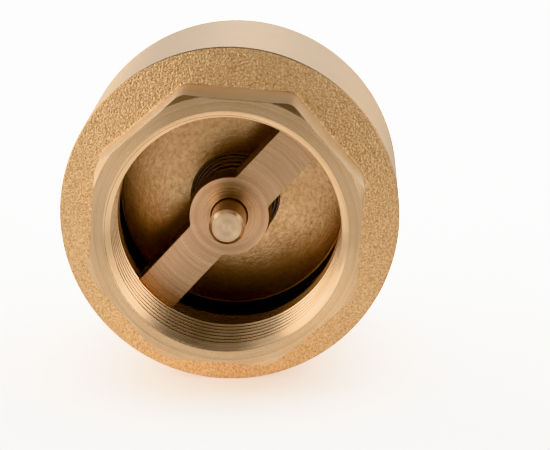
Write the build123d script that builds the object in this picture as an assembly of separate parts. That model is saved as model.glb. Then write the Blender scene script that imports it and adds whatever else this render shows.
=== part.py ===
from build123d import *
import os
from math import atan2, cos, degrees, hypot, radians, tan

# In-line spring-loaded disc check valve, size G 1 1/2 (DN 40), hot-forged and turned brass.
# Frame: millimetres, +Z up, flow axis along Y. The outlet mouth faces -Y, the inlet mouth +Y.
# The origin is on the flow axis, half way between the two mouth faces.
# Depths are measured from the outlet mouth face towards the inlet (+Y).
# Name endings: _R radius, _T depth, _W width or thickness, _AF across flats, _CH chamfer.

# Body outside
LENGTH = 68.0                # face to face
BARREL_R = 34.3
BOSS_AF = 52.8               # octagonal wrench boss
BOSS_CORNER_R = BOSS_AF / 2 / cos(radians(22.5))
BOSS_ROOT_T = 13.3           # root of the flats
BOSS_FACE_R = 27.2           # turned mouth face
BOSS_CH = 1.2                # depth the corner chamfer's slope reaches at a sharp corner
BOSS_CH_RUN = 1.6            # radial run of the corner chamfer
BOSS_EDGE_R = 3.6            # forged rounding of the octagon's edges
BOSS_ROOT_R = 0.5            # fillet between flats and shoulder
BOSS_SINK = 2.0              # overlap of boss and barrel
SHOULDER_T = 15.25           # where the conical shoulder meets the barrel
SHOULDER_INNER_R = 20.0      # start of the shoulder, hidden in the boss
SHOULDER_EDGE = (0.25, 0.15)  # radial and axial size of the broken shoulder edge
OUTLET_CLOCK = 85.0          # direction of one boss flat, degrees from +X towards +Z
INLET_CLOCK = 74.0           # differs because the halves are screwed together

# Mouths and pipe threads
THREAD_PITCH = 2.309         # 11 threads per inch
THREAD_CREST_R = 22.6
THREAD_ROOT_R = 23.9
THREAD_START_T = -1.3
THREAD_END_T = 15.5
THREAD_FLANK = 27.5          # half of the 55 degree thread angle
THREAD_ROOT_FLAT = 0.34
MOUTH_R = 24.1               # turned lead-in chamfer
MOUTH_T = 0.8

# Bridge and guide hub in the outlet half
BRIDGE_T0, BRIDGE_T1 = 14.4, 19.5
BRIDGE_DRAFT = 5.0           # forging draft of the sides, degrees
BRIDGE_CORNER_R = 1.1        # fillets between bar and hub
BAR_W = 8.75                 # at the turned face towards the outlet
BAR_DIRECTION = 46.9         # degrees from +X towards +Z
BAR_OVERLAP = 0.9            # radial overlap of the bar with the wall, before trimming
BRIDGE_OVERLAP = 0.6         # the same after trimming
HUB_R = 8.0
HUB_END_T = 27.0
HUB_STEP_R = 6.6             # the hub's inlet end is turned down for the spring
HUB_HOLE_R = 3.80
HUB_HOLE_CH = 0.2            # at the outlet end
HUB_END_CH = 0.3             # at the inlet end, inside and outside

# Chamber and joint
CHAMBER_R = 29.0
CHAMBER_END_T = 38.0
CHAMBER_CH = 1.0
BRIDGE_RELIEF = 0.25         # small chamfer between threaded bore and chamber
JOINT_R = 31.0               # joint bore of the outlet half
JOINT_T = 44.5               # joint line on the barrel
JOINT_CH = 0.5
JOINT_CLEAR = 0.15
SPIGOT_OVERLAP = 2.0
SPIGOT_CH = 0.6
GASKET_W = 1.0
GASKET_CLEAR = 0.1

# Seat in the inlet half
SEAT_BORE_R = 19.0
SEAT_R = 20.8
SEAT_T = 42.15
SEAT_BORE_CH = 0.4
SEAT_EDGE_CH = 0.3
CUP_R = 27.4                 # recess around the seat
CUP_T = 43.9
CUP_CH = 0.8
PIPE_STOP_T = 51.6
PIPE_STOP_CH = 0.6

# Stem
STEM_R = 3.54
STEM_TIP_T = 4.5
STEM_END_T = 50.3
STEM_TIP_CH = 0.62
STEM_END_CH = 0.5
STEM_THREAD_R = 2.5
STEM_THREAD_PITCH = 0.8      # M5
STEM_THREAD_ROOT_R = 2.06
STEM_THREAD_OPEN_R = 2.75    # groove profile, beyond the crest
STEM_THREAD_RUN = 7.8        # start of the groove, from the stem's inlet end
STEM_THREAD_LENGTH = 8.4
STEM_THREAD_FLANK = 26.0
STEM_THREAD_ROOT_FLAT = 0.12

# Disc and the parts stacked on its inlet side
DISC_R = 24.0
DISC_T = 36.8                # flat face towards the outlet
DISC_W = 2.3                 # at the rim
SEAL_INNER_R, SEAL_R = 12.0, 25.6
SEAL_W = 3.0
PLATE_R = 16.2
PLATE_W = 1.6
STACK_CH = 0.5               # outer edges of seal and clamp plate
STACK_CLEAR = 0.05           # disc and plate on the stem, disc boss in the seal
WASHER_R = 4.6
WASHER_W = 1.2
WASHER_CLEAR = 0.1
WASHER_SPLIT_W = 0.7
WASHER_SPLIT_ANGLE = 35.0
NUT_AF, NUT_W = 8.0, 4.0
NUT_CH = 0.42                # depth of the corner chamfers
NUT_HOLE_CLEAR = 0.03
NUT_HOLE_MOUTH = 0.4         # radial opening at both hole ends
SEAL_T = DISC_T + DISC_W
PLATE_T = SEAL_T + SEAL_W
WASHER_T = PLATE_T + PLATE_W
NUT_T = WASHER_T + WASHER_W

# Spring
WIRE_R = 0.35
SPRING_DISC_R = 9.4          # wire centre at the disc
SPRING_HUB_R = 4.75          # wire centre at the hub
SPRING_COILS = 7.0
SPRING_SAG_X, SPRING_SAG_Z = 0.38, -0.77  # the wide end hangs a little off the axis

OVER = 1.0                   # cutters run past the material by this much


def y_at(depth):
    return depth - LENGTH / 2


def turned(points):
    """Solid of revolution about the flow axis from (radius, depth) points."""
    face = make_face(Polyline([(radius, y_at(depth)) for radius, depth in points], close=True))
    return revolve(face, axis=Axis.Y, revolution_arc=360)


def ring(inner, outer, start, end, chamfer=0):
    """Turned ring, or cylinder if inner is 0, with an optional outer chamfer at its end."""
    rim = [(outer, end - chamfer), (outer - chamfer, end)] if chamfer else [(outer, end)]
    return turned([(inner, start), (outer, start), *rim, (inner, end)])


def prism(sketch, start, end):
    """Extrude a sketch drawn in (X, Z) between two depths."""
    plane = Plane(origin=(0, y_at(end), 0), x_dir=(1, 0, 0), z_dir=(0, -1, 0))
    return extrude(plane * sketch, amount=end - start)


def thread_groove(pitch, root, opening, flat, flank, start, length):
    """Helical V groove, from its flat at the root radius to the opening radius."""
    helix = Helix(pitch=pitch, height=length, radius=root,
                  center=(0, y_at(start), 0), direction=(0, 1, 0))
    origin = helix @ 0
    radial = Vector(origin.X, 0, origin.Z).normalized()
    # the profile plane contains the radius and the axis
    plane = Plane(origin=origin, x_dir=radial, z_dir=radial.cross(Vector(0, 1, 0)))
    reach = opening - root
    half_root = flat / 2
    half_open = half_root + abs(reach) * tan(radians(flank))
    profile = make_face(Polyline([(0, half_root), (0, -half_root),
                                  (reach, -half_open), (reach, half_open)], close=True))
    return sweep(plane * profile, path=helix, is_frenet=True)


def pipe_thread():
    return thread_groove(THREAD_PITCH, THREAD_ROOT_R, THREAD_CREST_R - 0.2, THREAD_ROOT_FLAT,
                         THREAD_FLANK, THREAD_START_T, THREAD_END_T - THREAD_START_T)


# ---------------------------------------------------------------- body halves
# Both blanks are drawn at the outlet end.
MOUTH_CUT = [  # (radius, depth) of the lead-in, the start of both bore outlines
    (0, -OVER),
    (MOUTH_R + OVER * (MOUTH_R - THREAD_CREST_R) / MOUTH_T, -OVER),
    (THREAD_CREST_R, MOUTH_T),
]


def make_boss(clock):
    """Octagonal boss with rounded edges and a turned corner chamfer at the mouth."""
    angles = [radians(clock + 22.5 + 45 * k) for k in range(8)]
    octagon = make_face(Polyline([(BOSS_CORNER_R * cos(a), BOSS_CORNER_R * cos(a - radians(90)))
                                  for a in angles], close=True))
    end = SHOULDER_T + BOSS_SINK
    boss = prism(octagon, 0, end)
    boss = fillet(boss.edges().filter_by(Axis.Y), BOSS_EDGE_R)
    chamfer_depth = BOSS_CH * BOSS_CH_RUN / (BOSS_CORNER_R - BOSS_FACE_R)
    clear = BOSS_CORNER_R + 4
    return boss & turned([(0, 0), (BOSS_FACE_R, 0), (BOSS_FACE_R + BOSS_CH_RUN, chamfer_depth),
                          (clear, chamfer_depth), (clear, end), (0, end)])


def shoulder_depth(radius):
    slope = (SHOULDER_T - BOSS_ROOT_T) / (BARREL_R - BOSS_AF / 2)
    return BOSS_ROOT_T + (radius - BOSS_AF / 2) * slope


def is_boss_root(edge):
    place = edge.center()
    return (BOSS_ROOT_T - 0.2 < place.Y + LENGTH / 2 < BOSS_ROOT_T + 1.2
            and edge.length > 0.2 and 25.5 < hypot(place.X, place.Z) < 29.0)


def make_blank(clock, end):
    """Boss, shoulder and barrel as one solid blank, from the mouth face to the given depth."""
    edge_radial, edge_axial = SHOULDER_EDGE
    inner_depth = shoulder_depth(SHOULDER_INNER_R)
    edge_r = BARREL_R - edge_radial
    barrel = turned([(0, inner_depth), (SHOULDER_INNER_R, inner_depth),
                     (edge_r, shoulder_depth(edge_r)), (BARREL_R, SHOULDER_T + edge_axial),
                     (BARREL_R, end), (0, end)])
    blank = make_boss(clock) + barrel
    roots = [edge for edge in blank.edges() if is_boss_root(edge)]
    # the blank stays unfilleted if the kernel can't round the roots of the flats
    try:
        return fillet(roots, BOSS_ROOT_R)
    except Exception:
        return blank


def make_bridge():
    """Bar across the bore with the round of the hub, drafted wider towards the inlet."""
    # sketch Y is -Z on the plane below, so the bar turns the other way
    bar = Rot(0, 0, -BAR_DIRECTION) * Rectangle(2 * (THREAD_CREST_R + BAR_OVERLAP), BAR_W)
    outline = bar + Circle(HUB_R)
    corners = [v for v in outline.vertices() if abs(hypot(v.X, v.Y) - HUB_R) < 0.05]
    # the corners stay sharp if the kernel can't fillet them
    try:
        outline = fillet(corners, BRIDGE_CORNER_R)
    except Exception:
        pass
    plane = Plane(origin=(0, y_at(BRIDGE_T0), 0), x_dir=(1, 0, 0), z_dir=(0, 1, 0))
    bridge = extrude(plane * outline, amount=BRIDGE_T1 - BRIDGE_T0, taper=-BRIDGE_DRAFT)
    return bridge & ring(0, THREAD_CREST_R + BRIDGE_OVERLAP, BRIDGE_T0 - OVER, BRIDGE_T1 + OVER)


def make_outlet_body():
    body = make_blank(OUTLET_CLOCK, JOINT_T)
    chamber_start = BRIDGE_T1 + BRIDGE_RELIEF
    body -= turned(MOUTH_CUT + [
        (THREAD_CREST_R, BRIDGE_T1), (THREAD_CREST_R + BRIDGE_RELIEF, chamber_start),
        (CHAMBER_R - CHAMBER_CH, chamber_start), (CHAMBER_R, chamber_start + CHAMBER_CH),
        (CHAMBER_R, CHAMBER_END_T), (JOINT_R, CHAMBER_END_T), (JOINT_R, JOINT_T - JOINT_CH),
        (JOINT_R + JOINT_CH, JOINT_T), (JOINT_R + JOINT_CH, JOINT_T + OVER),
        (0, JOINT_T + OVER)])
    hub = turned([
        (0, BRIDGE_T0), (HUB_R, BRIDGE_T0), (HUB_R, BRIDGE_T1 + 0.6),
        (HUB_STEP_R, BRIDGE_T1 + 1.6), (HUB_STEP_R, HUB_END_T - HUB_END_CH),
        (HUB_STEP_R - HUB_END_CH, HUB_END_T), (0, HUB_END_T)])
    body = body + (make_bridge() + hub)
    body -= pipe_thread()    # its run-out just nicks the bridge ends
    hole_mouth = HUB_HOLE_R + HUB_HOLE_CH
    hole_end = HUB_HOLE_R + HUB_END_CH
    body -= turned([
        (0, BRIDGE_T0 - OVER), (hole_mouth + OVER, BRIDGE_T0 - OVER), (hole_mouth, BRIDGE_T0),
        (HUB_HOLE_R, BRIDGE_T0 + HUB_HOLE_CH), (HUB_HOLE_R, HUB_END_T - HUB_END_CH),
        (hole_end, HUB_END_T), (hole_end, HUB_END_T + OVER), (0, HUB_END_T + OVER)])
    return body


def make_inlet_body():
    """Drawn at the outlet end, with depths from its own mouth, then turned half round Z."""
    joint = LENGTH - JOINT_T
    chamber = LENGTH - CHAMBER_END_T
    seat = LENGTH - SEAT_T
    cup = LENGTH - CUP_T
    stop = LENGTH - PIPE_STOP_T
    body = make_blank(180.0 - INLET_CLOCK, joint)
    body += ring(0, JOINT_R - JOINT_CLEAR, joint - SPIGOT_OVERLAP, chamber - GASKET_W, SPIGOT_CH)
    bore_end_r = SEAT_BORE_R + SEAT_BORE_CH
    body -= turned(MOUTH_CUT + [
        (THREAD_CREST_R, stop), (SEAT_BORE_R + PIPE_STOP_CH, stop),
        (SEAT_BORE_R, stop + PIPE_STOP_CH), (SEAT_BORE_R, seat - SEAT_BORE_CH),
        (bore_end_r, seat), (bore_end_r, LENGTH), (0, LENGTH)])
    # recess that leaves the seat standing as a raised ring
    body -= turned([
        (SEAT_BORE_R - OVER, seat), (SEAT_R - SEAT_EDGE_CH, seat), (SEAT_R, seat - SEAT_EDGE_CH),
        (SEAT_R, cup), (CUP_R - CUP_CH, cup), (CUP_R, cup + CUP_CH),
        (CUP_R, chamber), (SEAT_BORE_R - OVER, chamber)])
    body -= pipe_thread()
    return body.rotate(Axis.Z, 180)


# ---------------------------------------------------------------- inner parts
def make_body_gasket():
    return ring(CHAMBER_R + GASKET_CLEAR, JOINT_R - GASKET_CLEAR,
                CHAMBER_END_T, CHAMBER_END_T + GASKET_W)


def make_disc():
    """Disc with a central boss on the inlet side that fills the seal's hole."""
    hole = STEM_THREAD_R + STACK_CLEAR
    boss = SEAL_INNER_R - STACK_CLEAR
    boss_end = PLATE_T - 0.3
    return turned([
        (hole, DISC_T), (DISC_R - 0.45, DISC_T), (DISC_R - 0.12, DISC_T + 0.12),
        (DISC_R, DISC_T + 0.45), (DISC_R, SEAL_T - 0.3), (DISC_R - 0.3, SEAL_T),
        (boss, SEAL_T), (boss, boss_end), (hole, boss_end)])


def make_lock_washer():
    """Spring washer with a slanting split on the +X side."""
    washer = ring(STEM_THREAD_R + WASHER_CLEAR, WASHER_R, WASHER_T, NUT_T)
    split = Box(4.0, 3 * WASHER_W, WASHER_SPLIT_W)
    place = Pos(3.6, y_at(WASHER_T + WASHER_W / 2), 0)
    return washer - place * Rot(WASHER_SPLIT_ANGLE, 0, 0) * split


def make_stem_nut():
    end = NUT_T + NUT_W
    hexagon = RegularPolygon(radius=NUT_AF / 2, side_count=6, major_radius=False)
    face_r = NUT_AF / 2 * 0.97
    clear = NUT_AF / 2 / cos(radians(30)) + 0.1
    envelope = turned([(0, NUT_T), (face_r, NUT_T), (clear, NUT_T + NUT_CH),
                       (clear, end - NUT_CH), (face_r, end), (0, end)])
    hole = STEM_THREAD_R + NUT_HOLE_CLEAR
    mouth = STEM_THREAD_R + NUT_HOLE_MOUTH
    hole_ch = mouth - hole
    bore = turned([(0, NUT_T - OVER), (mouth, NUT_T - OVER), (mouth, NUT_T),
                   (hole, NUT_T + hole_ch), (hole, end - hole_ch),
                   (mouth, end), (mouth, end + OVER), (0, end + OVER)])
    return (prism(hexagon, NUT_T, end) & envelope) - bore


def make_stem():
    """Guide stem with its M5 thread at the inlet end."""
    stem = turned([
        (0, STEM_TIP_T), (STEM_R - STEM_TIP_CH, STEM_TIP_T), (STEM_R, STEM_TIP_T + STEM_TIP_CH),
        (STEM_R, DISC_T), (STEM_THREAD_R, DISC_T), (STEM_THREAD_R, STEM_END_T - STEM_END_CH),
        (STEM_THREAD_R - STEM_END_CH, STEM_END_T), (0, STEM_END_T)])
    return stem - thread_groove(
        STEM_THREAD_PITCH, STEM_THREAD_ROOT_R, STEM_THREAD_OPEN_R, STEM_THREAD_ROOT_FLAT,
        STEM_THREAD_FLANK, STEM_END_T - STEM_THREAD_RUN, STEM_THREAD_LENGTH)


def make_closing_spring():
    """Conical spring between hub and disc, sheared so that its wide end sags."""
    start = HUB_END_T + WIRE_R
    height = DISC_T - WIRE_R - start
    cone = degrees(atan2(SPRING_DISC_R - SPRING_HUB_R, height))
    path = Helix(pitch=height / SPRING_COILS, height=height, radius=SPRING_HUB_R,
                 center=(0, y_at(start), 0), direction=(0, 1, 0), cone_angle=cone)
    wire = Plane(origin=path @ 0, z_dir=path % 0) * Circle(WIRE_R)
    spring = sweep(wire, path=path, is_frenet=True)
    shear_x, shear_z = SPRING_SAG_X / height, SPRING_SAG_Z / height
    shear = Matrix([[1, shear_x, 0, -shear_x * y_at(start)],
                    [0, 1, 0, 0],
                    [0, shear_z, 1, -shear_z * y_at(start)],
                    [0, 0, 0, 1]])
    return spring.transform_geometry(shear)


parts = {
    "outlet_body": make_outlet_body(),
    "inlet_body": make_inlet_body(),
    "body_gasket": make_body_gasket(),
    "disc": make_disc(),
    "stem": make_stem(),
    "seal_ring": ring(SEAL_INNER_R, SEAL_R, SEAL_T, PLATE_T, STACK_CH),
    "clamp_plate": ring(STEM_THREAD_R + STACK_CLEAR, PLATE_R, PLATE_T, WASHER_T, STACK_CH),
    "lock_washer": make_lock_washer(),
    "stem_nut": make_stem_nut(),
    "closing_spring": make_closing_spring(),
}
os.makedirs("parts", exist_ok=True)
for name, shape in parts.items():
    export_step(shape, f"parts/{name}.step")
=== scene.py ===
# Spring-loaded check valve: two brass body halves, disc, stem and conical closing spring.
# The valve's axis is Y, with the outlet mouth at -Y facing the camera and the inlet at +Y.
# It rests on a white floor inside a light tent. Metres, Z up; the materials measure in mm.
import bpy
import math
from mathutils import Matrix, Vector


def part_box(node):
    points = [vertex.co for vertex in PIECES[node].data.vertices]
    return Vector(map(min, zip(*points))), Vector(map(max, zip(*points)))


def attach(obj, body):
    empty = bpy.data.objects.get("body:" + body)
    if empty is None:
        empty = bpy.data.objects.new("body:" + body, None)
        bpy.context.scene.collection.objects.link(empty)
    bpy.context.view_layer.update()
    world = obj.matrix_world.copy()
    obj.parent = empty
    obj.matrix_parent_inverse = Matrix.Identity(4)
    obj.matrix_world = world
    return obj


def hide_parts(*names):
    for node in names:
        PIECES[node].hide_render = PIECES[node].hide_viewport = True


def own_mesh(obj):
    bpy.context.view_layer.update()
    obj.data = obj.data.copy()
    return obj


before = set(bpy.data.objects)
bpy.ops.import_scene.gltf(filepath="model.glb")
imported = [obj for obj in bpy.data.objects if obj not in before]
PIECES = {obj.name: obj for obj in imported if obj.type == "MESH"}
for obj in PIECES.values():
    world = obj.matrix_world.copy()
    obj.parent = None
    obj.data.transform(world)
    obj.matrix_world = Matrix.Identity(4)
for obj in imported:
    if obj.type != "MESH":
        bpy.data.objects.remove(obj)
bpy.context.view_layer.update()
MM_PER_M = 1000.0
HALF_LENGTH_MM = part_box("inlet_body")[1].y * MM_PER_M
MOUTH_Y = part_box("outlet_body")[0].y               # outlet mouth face
FLOOR_Z = min(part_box("outlet_body")[0].z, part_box("inlet_body")[0].z)

scene = bpy.context.scene
scene.view_settings.view_transform = "Khronos PBR Neutral"


# ------------------------------------------------------------------ shader graphs
def srgb(*levels):
    """Linear RGBA from three 0..255 sRGB levels."""
    def linear(level):
        c = level / 255.0
        return c / 12.92 if c <= 0.04045 else ((c + 0.055) / 1.055) ** 2.4
    return (*map(linear, levels), 1.0)


class Wire:
    """An output socket usable in arithmetic: every operation adds a Math node."""

    def __init__(self, graph, socket):
        self.graph, self.socket = graph, socket

    def __add__(self, other):
        return self.graph.math("ADD", self, other)

    def __radd__(self, other):
        return self.graph.math("ADD", other, self)

    def __sub__(self, other):
        return self.graph.math("SUBTRACT", self, other)

    def __rsub__(self, other):
        return self.graph.math("SUBTRACT", other, self)

    def __mul__(self, other):
        return self.graph.math("MULTIPLY", self, other)

    def __truediv__(self, other):
        return self.graph.math("DIVIDE", self, other)

    def __abs__(self):
        return self.graph.math("ABSOLUTE", self)

    def map_range(self, span, to=(), **settings):
        """Maps span to the range `to`, or to the node's own 0..1."""
        inputs = dict(enumerate((self, *span, *to)))
        return self.graph.node("MapRange", inputs, **settings)

    def remap(self, span, to=(0.0, 1.0)):
        return self.map_range(span, to)

    def step(self, at, soft):
        """0 below `at`, 1 above it, with an edge `soft` wide to either side."""
        return self.map_range((at - soft, at + soft), interpolation_type="SMOOTHSTEP")

    def band(self, low, high, soft):
        """1 between low and high."""
        return self.step(low, soft) * (1.0 - self.step(high, soft))


class Graph:
    """Writes nodes into a node tree; inputs are given by index or name."""

    def __init__(self, tree, output_kind):
        tree.nodes.clear()
        self.tree = tree
        self.sink = tree.nodes.new(output_kind).inputs["Surface"]

    def put(self, value, socket):
        if isinstance(value, Wire):
            self.tree.links.new(value.socket, socket)
        else:
            socket.default_value = value

    def node(self, kind, inputs=None, output=0, **settings):
        node = self.tree.nodes.new("ShaderNode" + kind)
        for key, value in settings.items():
            setattr(node, key, value)
        for key, value in (inputs or {}).items():
            self.put(value, node.inputs[key])
        return Wire(self, node.outputs[output])

    def math(self, operation, *values):
        return self.node("Math", dict(enumerate(values)), operation=operation)

    def vector_math(self, operation, *values):
        return self.node("VectorMath", dict(enumerate(values)), operation=operation)

    def value(self, name, number):
        wire = self.node("Value", name=name)
        wire.socket.default_value = number
        return wire

    def split(self, vector):
        x = self.node("SeparateXYZ", {0: vector})
        return [Wire(self, socket) for socket in x.socket.node.outputs]

    def noise(self, at, scale, detail, rough=0.5, dims="3D"):
        inputs = {"W" if dims == "1D" else "Vector": at,
                  "Scale": scale, "Detail": detail, "Roughness": rough}
        return self.node("TexNoise", inputs, noise_dimensions=dims)

    def bump(self, height, distance, normal=None):
        inputs = {"Distance": distance, "Height": height}
        if normal is not None:
            inputs["Normal"] = normal
        return self.node("Bump", inputs)


def hypot(a, b):
    return a.graph.math("SQRT", a * a + b * b)


def total(wires):
    return sum(wires[1:], wires[0])


def mix_value(mask, off, on):
    return mask.graph.node("Mix", {0: mask, 2: off, 3: on}, data_type="FLOAT")


def mix_colour(mask, off, on):
    return mask.graph.node("Mix", {0: mask, 6: off, 7: on}, output=2, data_type="RGBA")


def two_tone(pattern, span, low, high):
    """Runs from colour low to colour high as the pattern crosses span."""
    return mix_colour(pattern.remap(span), low, high)


class MaterialGraph(Graph):
    def __init__(self, name):
        self.material = bpy.data.materials.new(name)
        self.material.use_nodes = True
        super().__init__(self.material.node_tree, "ShaderNodeOutputMaterial")

    def object_point(self):
        return self.node("TexCoord", output="Object")

    def point_mm(self):
        inputs = {0: self.object_point(), "Scale": MM_PER_M}
        return self.node("VectorMath", inputs, operation="SCALE")

    def surface(self, colour, rough, metallic, others):
        inputs = {"Base Color": colour, "Roughness": rough, "Metallic": metallic, **others}
        self.put(self.node("BsdfPrincipled", inputs), self.sink)
        return self.material


class TurnedGraph(MaterialGraph):
    """A metal turned on a lathe about the Y axis, with its places in mm."""

    def __init__(self, name):
        super().__init__(name)
        self.point = self.point_mm()
        x, self.y, z = self.split(self.point)
        self.radius = hypot(x, z)
        self.outlet_depth = self.y + HALF_LENGTH_MM
        across_axis = self.node("CombineXYZ", {0: z * -1.0, 1: 0.0, 2: x})
        self.tangent = self.node(
            "VectorTransform", {0: self.vector_math("NORMALIZE", across_axis)},
            vector_type="VECTOR", convert_from="OBJECT", convert_to="WORLD")
        # facing: 1 on faces square to the axis, 0 on walls parallel to it
        normal = self.node("NewGeometry", output="True Normal")
        self.facing = abs(self.split(normal)[1])
        self.cosine, self.sine = x / self.radius, z / self.radius
        # profile: where the lathe tool stands, by radius on faces and by depth on walls
        self.profile = self.radius * self.facing + self.outlet_depth * (1.0 - self.facing)

    def profile_noise(self, seed, scale, detail, rough=0.5):
        """Noise that depends only on the place along the profile: perfect rings."""
        return self.noise(self.profile + seed, scale, detail, rough, dims="1D")

    def strokes(self, along, across, detail, seed, rough=0.6):
        """Noise drawn out along the circumference, seamless round the axis."""
        place = self.node("CombineXYZ", {
            0: (self.profile + seed) * across, 1: self.cosine * along, 2: self.sine * along})
        return self.noise(place, scale=1.0, detail=detail, rough=rough)

    def arcs(self, seed, scale):
        """Concentric tool marks, about 0..1, whose contrast comes and goes."""
        fine = self.profile_noise(5.0 + seed, scale, detail=2.0, rough=0.7)
        coarse = self.profile_noise(47.0 + seed, scale * 0.3, detail=1.0)
        contrast = self.strokes(along=2.2, across=0.7, detail=1.0, seed=seed)
        contrast = contrast.remap((0.3, 0.7), to=(0.35, 1.0))
        return (fine - 0.5) * contrast + (coarse - 0.5) * 0.6 + 0.5

    def soft_edges(self, radius):
        return self.node("Bevel", {"Radius": radius}, samples=4)

    def turned_surface(self, colour, rough, normal, anisotropy):
        return self.surface(colour, rough, metallic=1.0, others={
            "Normal": normal, "Anisotropic": anisotropy,
            "Anisotropic Rotation": 0.25, "Tangent": self.tangent})


# ------------------------------------------------------------------ materials
# In "base + pattern * gain" the base is the least roughness and the gain its variation.
# Bump distances and bevel radii are in metres.
BORE_RADIUS = 22.2      # mm, the wall inside each body half


def body_material():
    graph = TurnedGraph("brass_body")
    radius, facing, point = graph.radius, graph.facing, graph.point
    depth = HALF_LENGTH_MM - abs(graph.y)           # from the nearer mouth
    end_face = facing.step(at=0.55, soft=0.1)
    wall = 1.0 - end_face

    # zones of the surface
    blasted = (radius.step(at=26.1, soft=0.15) * end_face
               * depth.band(low=13.22, high=15.3, soft=0.06))
    flats = (radius.band(low=25.9, high=29.5, soft=0.1) * wall
             * depth.band(low=0.5, high=13.35, soft=0.1))
    barrel = radius.step(at=33.6, soft=0.15) * wall
    thread = (radius.band(low=22.15, high=24.1, soft=0.05)
              * depth.band(low=0.25, high=15.2, soft=0.1))
    web = ((1.0 - radius.step(at=BORE_RADIUS, soft=0.1)) * end_face
           * graph.outlet_depth.band(low=13.0, high=16.0, soft=0.2))
    cast = ((1.0 - radius.step(at=BORE_RADIUS, soft=0.1)) * wall
            * graph.outlet_depth.band(low=14.5, high=26.0, soft=0.1))
    chamfer = (radius.step(at=27.25, soft=0.05) * depth.band(low=0.03, high=1.15, soft=0.03)
               * facing.band(low=0.4, high=0.97, soft=0.03))
    machined = 1.0 - blasted - flats - cast
    marked = machined - barrel * 0.8                # tool marks are faint on the barrel

    # patterns
    rings = (graph.profile_noise(seed=0.0, scale=1.3, detail=3.0, rough=0.6) * 0.65
             + graph.profile_noise(seed=31.0, scale=6.0, detail=1.0) * 0.35)
    streak = graph.arcs(seed=0.0, scale=3.2)
    scratches = graph.strokes(along=2.0, across=6.0, detail=1.0, seed=11.0)
    slow = graph.noise(point, scale=0.09, detail=3.0)
    grain = graph.noise(point, scale=2.8, detail=3.0, rough=0.6)

    # colour: machined brass first, the other zones laid over it
    colour = two_tone(slow, (0.35, 0.65), srgb(231, 193, 151), srgb(238, 204, 165))
    web_colour = two_tone(streak, (0.3, 0.85), srgb(235, 195, 157), srgb(208, 166, 128))
    blasted_colour = two_tone(grain, (0.36, 0.6), srgb(196, 153, 106), srgb(236, 198, 152))
    flat_colour = two_tone(slow, (0.35, 0.65), srgb(242, 218, 184), srgb(247, 228, 200))
    cast_colour = two_tone(grain, (0.4, 0.65), srgb(64, 42, 26), srgb(122, 82, 48))
    # the mouth chamfer is darker towards the top: a slight darkening all round, and painted
    # shade on its upper side, where it reflects the dark top of the tent
    chamfer_painted_shade = 0.15 + graph.sine.step(at=0.84, soft=0.1) * 0.6
    for mask, layer in (
        (marked * streak.remap((0.4, 0.85), to=(0.0, 0.5)), srgb(206, 167, 120)),
        (marked * scratches.remap((0.58, 0.85), to=(0.0, 0.4)), srgb(162, 122, 79)),
        (barrel * 0.8, srgb(221, 188, 144)),
        (web, web_colour),
        # painted shade: the chamfer's dark colour, strongest on its upper side
        (chamfer * chamfer_painted_shade, srgb(120, 84, 52)),
        (blasted, blasted_colour),
        (flats, flat_colour),
        (cast, cast_colour),
    ):
        colour = mix_colour(mask, colour, layer)

    rough = 0.22 + streak * 0.1
    for mask, layer in (
        (blasted, 0.34 + grain * 0.12),
        (flats, 0.44 + slow * 0.14),
        (barrel, 0.26 + streak * 0.08),
        (thread, 0.12 + streak * 0.1),
        (web, 0.24 + streak * 0.08),
        (cast, 0.36),
    ):
        rough = mix_value(mask, rough, layer)

    # relief: blasted grain with pits, tool rings, and waves that are strongest on the casting
    pits = graph.node("TexVoronoi", {"Vector": point, "Scale": 2.0}, output="Distance")
    waves = graph.noise(point, scale=0.35, detail=3.0)
    normal = graph.soft_edges(radius=0.00016)
    for height, distance in (
        ((grain * 0.8 + pits * 0.4) * blasted, 0.0002),
        (rings * marked, 0.000008),
        (waves * (flats + cast * 4.0), 0.00005),
    ):
        normal = graph.bump(height, distance, normal)

    # highlights stretch most on turned faces and least on the thread
    turned_face = end_face * machined * (1.0 - thread)
    anisotropy = machined * 0.75 - thread * 0.45 + turned_face * 0.18
    return graph.turned_surface(colour, rough, normal, anisotropy)


def disc_material():
    graph = TurnedGraph("brass_disc")
    face = graph.facing.step(at=0.7, soft=0.1)
    strokes = graph.strokes(along=7.0, across=2.0, detail=4.0, rough=0.7, seed=5.0)
    clouds = graph.noise(graph.point, scale=0.17, detail=5.0, rough=0.62)
    mottle = graph.noise(graph.point, scale=1.1, detail=5.0, rough=0.7)
    rim = graph.radius.step(at=23.35, soft=0.25)
    colour = two_tone(clouds, (0.35, 0.66), srgb(226, 178, 130), srgb(243, 200, 154))
    for mask, layer in (
        (mottle.remap((0.45, 0.72), to=(0.0, 0.6)), srgb(180, 134, 90)),
        (face * strokes.remap((0.5, 0.74), to=(0.0, 0.5)), srgb(168, 122, 80)),
        (rim * 0.75, srgb(96, 66, 40)),
    ):
        colour = mix_colour(mask, colour, layer)
    normal = graph.bump(mottle, distance=0.00003, normal=graph.soft_edges(radius=0.00015))
    normal = graph.bump(strokes, distance=0.000014, normal=normal)
    return graph.turned_surface(colour, 0.13 + mottle * 0.12, normal, anisotropy=face * 0.35)


def stem_material():
    graph = TurnedGraph("brass_turned")
    streak = graph.arcs(seed=2.0, scale=2.4)
    colour = two_tone(streak, (0.4, 0.8), srgb(236, 204, 170), srgb(222, 184, 146))
    grain = graph.noise(graph.point, scale=3.0, detail=3.0)
    normal = graph.bump(grain, distance=0.000006, normal=graph.soft_edges(radius=0.00012))
    anisotropy = mix_value(graph.facing.step(at=0.7, soft=0.1), off=0.6, on=0.93)
    return graph.turned_surface(colour, 0.19 + streak * 0.08, normal, anisotropy)


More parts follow.
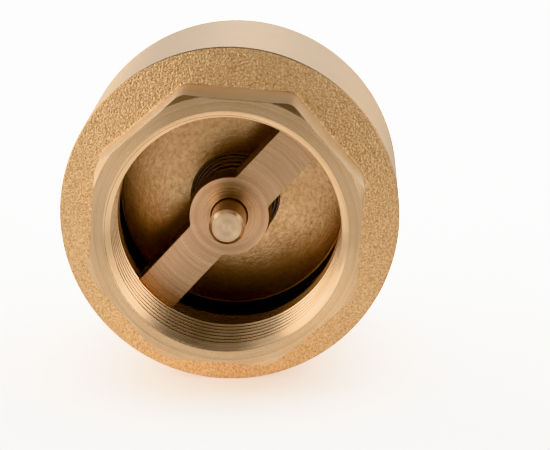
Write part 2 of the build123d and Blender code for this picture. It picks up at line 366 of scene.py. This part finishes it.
def steel_material():
    graph = MaterialGraph("steel_wire")
    squeezed = graph.vector_math("MULTIPLY", graph.point_mm(), (1.0, 3.0, 1.0))
    streak = graph.noise(squeezed, scale=1.5, detail=3.0)
    colour = mix_colour(streak, srgb(126, 122, 120), srgb(168, 165, 162))
    normal = graph.bump(streak, distance=0.00001)
    return graph.surface(colour, 0.18 + streak * 0.12, metallic=1.0, others={"Normal": normal})


def rubber_material():
    graph = MaterialGraph("rubber_black")
    grain = graph.noise(graph.point_mm(), scale=1.8, detail=4.0)
    colour = mix_colour(grain, srgb(14, 14, 15), srgb(30, 30, 31))
    normal = graph.bump(grain, distance=0.00003)
    return graph.surface(colour, 0.55 + grain * 0.2, metallic=0.0, others={"Normal": normal})


def gasket_material():
    graph = MaterialGraph("fibre_green")
    fibre = graph.noise(graph.point_mm(), scale=3.0, detail=4.0, rough=0.7)
    colour = mix_colour(fibre, srgb(52, 84, 72), srgb(96, 128, 112))
    normal = graph.bump(fibre, distance=0.00005)
    return graph.surface(colour, rough=0.75, metallic=0.0, others={"Normal": normal})


def assign(material, *names):
    for name in names:
        piece = PIECES[name]
        if not piece.material_slots:
            piece.data.materials.append(material)
        for slot in piece.material_slots:
            slot.material = material


assign(body_material(), "outlet_body", "inlet_body")
assign(disc_material(), "disc")
assign(stem_material(), "stem", "clamp_plate", "stem_nut")
steel = steel_material()
assign(steel, "lock_washer")
assign(rubber_material(), "seal_ring")
assign(gasket_material(), "body_gasket")


# ------------------------------------------------------------------ closing spring
WIRE_RADIUS = 0.00035
HUB_COIL_RADIUS = 0.00475
DISC_COIL_RADIUS = 0.00940
DISC_END_SHIFT = Vector((0.00038, 0.0, -0.00077))   # the wide end lies loose on the disc
ACTIVE_TURNS = 6.1
CLOSED_TURNS = 0.75                                 # flat turns at each end
TURNS = ACTIVE_TURNS + 2 * CLOSED_TURNS
START_ANGLE = 0.9
PITCH_EASE = 0.045                                  # soft start and end of the pitch
STEPS_PER_TURN, WIRE_SIDES = 80, 16
CAP_SCALE, CAP_RISE = 0.72, 0.28                    # domed wire ends, parts of the wire radius


def spring_path(start_y, end_y):
    """Centre line of the wire, from the hub end to the disc end."""
    path = []
    for i in range(int(TURNS * STEPS_PER_TURN) + 1):
        turn = i / STEPS_PER_TURN
        rise = min(1.0, max(0.0, (turn - CLOSED_TURNS) / ACTIVE_TURNS))
        rise = rise - PITCH_EASE * math.sin(2 * math.pi * rise)
        widening = turn / TURNS
        radius = HUB_COIL_RADIUS + (DISC_COIL_RADIUS - HUB_COIL_RADIUS) * widening
        angle = 2 * math.pi * turn + START_ANGLE
        point = Vector((radius * math.cos(angle), start_y + (end_y - start_y) * rise,
                        radius * math.sin(angle)))
        path.append(point + DISC_END_SHIFT * widening)
    return path


def wire_mesh(path):
    """Vertices and faces of a round wire with slightly domed ends."""
    last = len(path) - 1
    verts, faces = [], []

    def tangent(i):
        return (path[min(last, i + 1)] - path[max(0, i - 1)]).normalized()

    for i, point in enumerate(path):
        along = tangent(i)
        outward = Vector((point.x, 0, point.z)).normalized()
        side = along.cross(outward).normalized()
        outward = side.cross(along).normalized()
        for k in range(WIRE_SIDES):
            angle = 2 * math.pi * k / WIRE_SIDES
            verts.append(point + WIRE_RADIUS * (math.cos(angle) * outward
                                                + math.sin(angle) * side))
    for i in range(last):
        for k in range(WIRE_SIDES):
            a, b = i * WIRE_SIDES + k, i * WIRE_SIDES + (k + 1) % WIRE_SIDES
            faces.append((a, b, b + WIRE_SIDES, a + WIRE_SIDES))
    for end, sign in ((0, -1), (last, 1)):
        base = end * WIRE_SIDES
        along = tangent(end) * sign
        cap = []
        for k in range(WIRE_SIDES):
            cap.append(len(verts))
            verts.append(path[end] + (verts[base + k] - path[end]) * CAP_SCALE
                         + along * WIRE_RADIUS * CAP_RISE)
        for k in range(WIRE_SIDES):
            after = (k + 1) % WIRE_SIDES
            face = (base + k, cap[k], cap[after], base + after)
            faces.append(face if sign < 0 else face[::-1])
        faces.append(tuple(cap) if sign > 0 else tuple(cap[::-1]))
    return verts, faces


def conical_spring(start_y, end_y):
    verts, faces = wire_mesh(spring_path(start_y, end_y))
    mesh = bpy.data.meshes.new("coil_spring")
    mesh.from_pydata([tuple(v) for v in verts], [], faces)
    mesh.validate()
    mesh.update()
    for polygon in mesh.polygons:
        polygon.use_smooth = True
    coil = bpy.data.objects.new("coil_spring", mesh)
    scene.collection.objects.link(coil)
    mesh.materials.append(steel)
    return coil


box_low, box_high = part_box("closing_spring")
start_y, end_y = box_low.y + WIRE_RADIUS, box_high.y - WIRE_RADIUS
spring = conical_spring(start_y, end_y)
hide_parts("closing_spring")
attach(spring, "valve_body")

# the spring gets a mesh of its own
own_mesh(spring)

# ------------------------------------------------------------------ floor
FLOOR_SIZE, FLOOR_CENTRE_Y = 6.0, 0.8
GLOW_NEAR, GLOW_MID, GLOW_FAR = 0.381, 0.0, 0.0     # light from the table, by distance
LIFT = 1.0                                          # over-exposure seen by the camera
CONTACT_HALF_LENGTH = 0.019                         # strip under the valve, along Y


def floor_material():
    graph = MaterialGraph("floor_white")
    clouds = graph.noise(graph.object_point(), scale=3.0, detail=2.0)
    colour = mix_colour(clouds, srgb(247, 245, 243), srgb(250, 249, 247))

    x, y, _ = graph.split(graph.node("NewGeometry", output="Position"))
    distance = hypot(x, y)
    near = 1.0 - distance.step(at=0.14, soft=0.06)
    far = distance.step(at=0.38, soft=0.13)
    mid = 1.0 - near - far
    glow = total([weight * graph.value(name, strength) for name, weight, strength in (
        ("glow_near", near, GLOW_NEAR), ("glow_mid", mid, GLOW_MID),
        ("glow_far", far, GLOW_FAR))])

    # the camera sees the table over-exposed, more so behind the valve, not where it stands
    beyond = graph.math("MAXIMUM", abs(y) - CONTACT_HALF_LENGTH, 0.0)
    contact = hypot(x, beyond)
    behind = y.step(at=0.0, soft=0.06) * 0.9 + y.step(at=0.16, soft=0.14) * 2.0
    exposure = (behind + 0.6) * contact.step(at=0.026, soft=0.02) * graph.value("lift", LIFT)
    seen = graph.node("LightPath", output="Is Camera Ray")
    return graph.surface(colour, rough=0.55, metallic=0.0, others={
        "Specular IOR Level": 0.2, "Emission Color": (1.0, 1.0, 1.0, 1.0),
        "Emission Strength": glow + seen * exposure})


bpy.ops.mesh.primitive_plane_add(size=FLOOR_SIZE, location=(0, FLOOR_CENTRE_Y, FLOOR_Z))
floor = bpy.context.object
floor.name = "floor"
floor.data.materials.append(floor_material())

# ------------------------------------------------------------------ light tent
# Rows of soft panels: elevation, sharpness, then (azimuth, strength) of each panel.
# Angles are in degrees; azimuth 0 is -Y, the camera's side, and grows towards +X.
PANEL_ROWS = [
    (4, 90, [(-84, 1.839), (-70, 2.905), (-56, 0.273), (-42, 2.883), (-28, 1.202),
             (42, 0.235), (56, 2.571), (70, 1.280)]),
    (18, 90, [(-84, 0.504), (-70, 1.787), (-56, 0.453), (-42, 2.686), (-28, 0.151),
              (42, 2.179), (56, 2.640), (70, 1.019)]),
    (32, 90, [(-84, 1.996), (-70, 3.039), (-56, 3.654), (-42, 1.868),
              (42, 1.661), (56, 1.964), (70, 0.724), (84, 0.467)]),
    (46, 90, [(-70, 1.009), (-56, 0.699), (-42, 0.464), (-28, 1.653), (0, 0.391), (28, 1.247)]),
    (8, 22, [(112, 0.758), (140, 1.353), (180, 2.021), (220, 1.739), (248, 1.648)]),
    (34, 22, [(112, 1.190), (140, 0.065), (248, 1.242)]),
    (64, 22, [(-30, 0.481), (30, 0.168), (90, 0.225)]),
    (90, 22, [(0, 0.636)]),
]
BACKDROP_STRENGTH = 6.0                             # what the camera sees past the floor
WHITE = (1, 1, 1, 1)


def panel(graph, view, azimuth, elevation, strength, sharpness):
    """A soft round lobe of light centred on one direction."""
    azimuth, elevation = math.radians(azimuth), math.radians(elevation)
    direction = (math.sin(azimuth) * math.cos(elevation),
                 -math.cos(azimuth) * math.cos(elevation), math.sin(elevation))
    aligned = graph.node("VectorMath", {0: view, 1: direction}, output="Value",
                         operation="DOT_PRODUCT")
    return graph.math("POWER", graph.math("MAXIMUM", aligned, 0.0), sharpness) * strength


world = bpy.data.worlds.new("studio")
scene.world = world
world.use_nodes = True
sky = Graph(world.node_tree, "ShaderNodeOutputWorld")
view = sky.vector_math("NORMALIZE", sky.node("TexCoord", output="Generated"))
tent = total([panel(sky, view, azimuth, elevation, strength, sharpness)
              for elevation, sharpness, row in PANEL_ROWS for azimuth, strength in row])
sky.put(sky.node("MixShader", {
    0: sky.node("LightPath", output="Is Camera Ray"),
    1: sky.node("Background", {0: WHITE, 1: tent}),
    2: sky.node("Background", {0: WHITE, 1: BACKDROP_STRENGTH})}), sky.sink)

# ------------------------------------------------------------------ camera
LENS_MM, SENSOR_MM = 155.97818, 36.0
MOUTH_IN_VIEW = Vector((-9.65, 1.53, 465.3))        # mouth centre: right, down, forward, mm
TILT, YAW = math.radians(13.14), math.radians(1.79)

# the valve's axes as the camera sees them (right, down, forward)
y_in_view = Vector((math.sin(YAW) * math.cos(TILT), -math.sin(TILT),
                    math.cos(YAW) * math.cos(TILT)))
x_in_view = Vector((math.cos(YAW), 0.0, -math.sin(YAW)))
z_in_view = -y_in_view.cross(x_in_view)
# and the camera's axes in the valve's frame
right, down, forward = (Vector(axis) for axis in zip(x_in_view, y_in_view, z_in_view))
mouth_offset = right * MOUTH_IN_VIEW.x + down * MOUTH_IN_VIEW.y + forward * MOUTH_IN_VIEW.z
position = -mouth_offset / MM_PER_M + Vector((0, MOUTH_Y, 0))

camera_data = bpy.data.cameras.new("camera")
camera = bpy.data.objects.new("camera", camera_data)
scene.collection.objects.link(camera)
camera_data.sensor_width = SENSOR_MM
camera_data.sensor_fit = "HORIZONTAL"
camera_data.lens = LENS_MM
camera_data.clip_start, camera_data.clip_end = 0.02, 20.0
rotation = Matrix((right, -down, -forward)).transposed()
camera.matrix_world = Matrix.Translation(position) @ rotation.to_4x4()
scene.camera = camera
